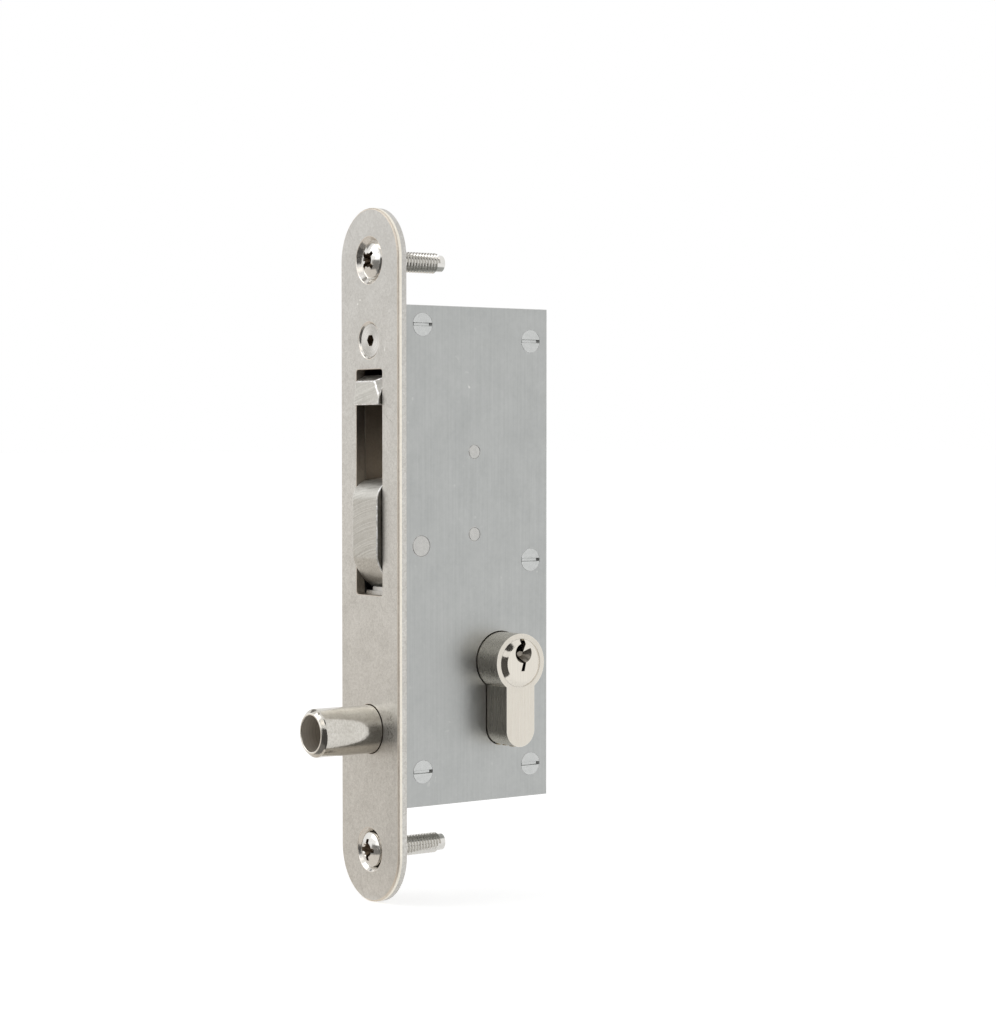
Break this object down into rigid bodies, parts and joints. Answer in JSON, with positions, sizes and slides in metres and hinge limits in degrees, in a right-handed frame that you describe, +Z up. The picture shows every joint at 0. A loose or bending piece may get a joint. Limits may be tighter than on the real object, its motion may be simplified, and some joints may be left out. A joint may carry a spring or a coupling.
{
  "type": "gate insert lock",
  "caption": "Insert lock for a tubular gate: round-ended faceplate, swinging hook bolt, hollow guide pin and a profile cylinder that drives the hook through a rack slide.",
  "frame": {"origin": "centre of the faceplate's rear face, where it seats on the gate post", "axes": "+Z up along the faceplate, -Y out of the faceplate's front, +X towards the key side"},
  "size_m": [0.0464, 0.075, 0.2],
  "materials": {
    "satin_stainless": "tumbled satin stainless steel",
    "polished_screw": "polished stainless steel",
    "turned_steel": "turned steel with fine rings",
    "polished_pin": "polished stainless steel",
    "ground_hook": "hardened steel with grinding lines",
    "sheet_steel": "cold rolled sheet steel",
    "zinc_block": "zinc plated steel",
    "zinc_screw": "bright zinc plated",
    "bright_steel": "bright drawn steel",
    "sintered_steel": "sintered steel, oiled",
    "dark_guide": "blackened steel",
    "bronze": "oilless bronze",
    "nickel_plate": "satin nickel plated brass",
    "nickel_plug": "nickel plated brass with a polished bevel",
    "spring_steel": "spring steel",
    "brass": "drawn brass"
  },
  "bodies": {
    "lock_case": {"faceplate": "satin_stainless", "upper_fixing_screw": "polished_screw", "lower_fixing_screw": "polished_screw", "case_screw": "turned_steel", "cylinder_screw": "turned_steel", "guide_pin": "polished_pin", "case_body": "sheet_steel", "case_cover": "sheet_steel", "upper_block": "zinc_block", "lower_block": "zinc_block", "brake_block": "zinc_block", "cover_screws": "zinc_screw", "floor_screws": "zinc_screw", "case_pillars": "zinc_screw", "hook_pin": "bright_steel", "slide_pins": "bright_steel", "spring_rod": "bright_steel", "brake_plunger": "bright_steel", "hook_guides": "dark_guide", "slide_spacers": "dark_guide", "hook_bushes": "bronze", "cylinder_housing": "nickel_plate", "plug_far": "nickel_plug", "brake_spring": "spring_steel", "pin_springs_near": "spring_steel", "pin_springs_far": "spring_steel", "plug_ring_far": "spring_steel", "key_pins_far": "brass", "driver_pins_near": "brass", "driver_pins_far": "brass"},
    "hook": {"hook": "ground_hook"},
    "slide": {"slide": "sintered_steel", "slide_spring": "spring_steel"},
    "key_plug": {"plug_near": "nickel_plug", "plug_ring_near": "spring_steel", "clutch": "sintered_steel", "cam": "sintered_steel", "key_pins_near": "brass"}
  },
  "joints": [
    {"name": "hook_swing", "type": "hinge", "parent": "lock_case", "child": "hook", "pos_m": [0, 0.007, 0.003], "axis": [1, 0, 0], "range_deg": [0, 90]},
    {"name": "slide_lift", "type": "slide", "parent": "lock_case", "child": "slide", "axis": [0, 0, 1], "range_m": [0, 0.01571], "deforming": ["slide_spring"]},
    {"name": "key_turn", "type": "hinge", "parent": "lock_case", "child": "key_plug", "pos_m": [0, 0.035, -0.0313], "axis": [-1, 0, 0], "range_deg": [0, 77.86]}
  ],
  "couplings": [
    {"joint": "slide_lift", "follows": "hook_swing", "m_per_rad": 0.01},
    {"joint": "key_turn", "follows": "hook_swing", "ratio": 0.86503}
  ]
}
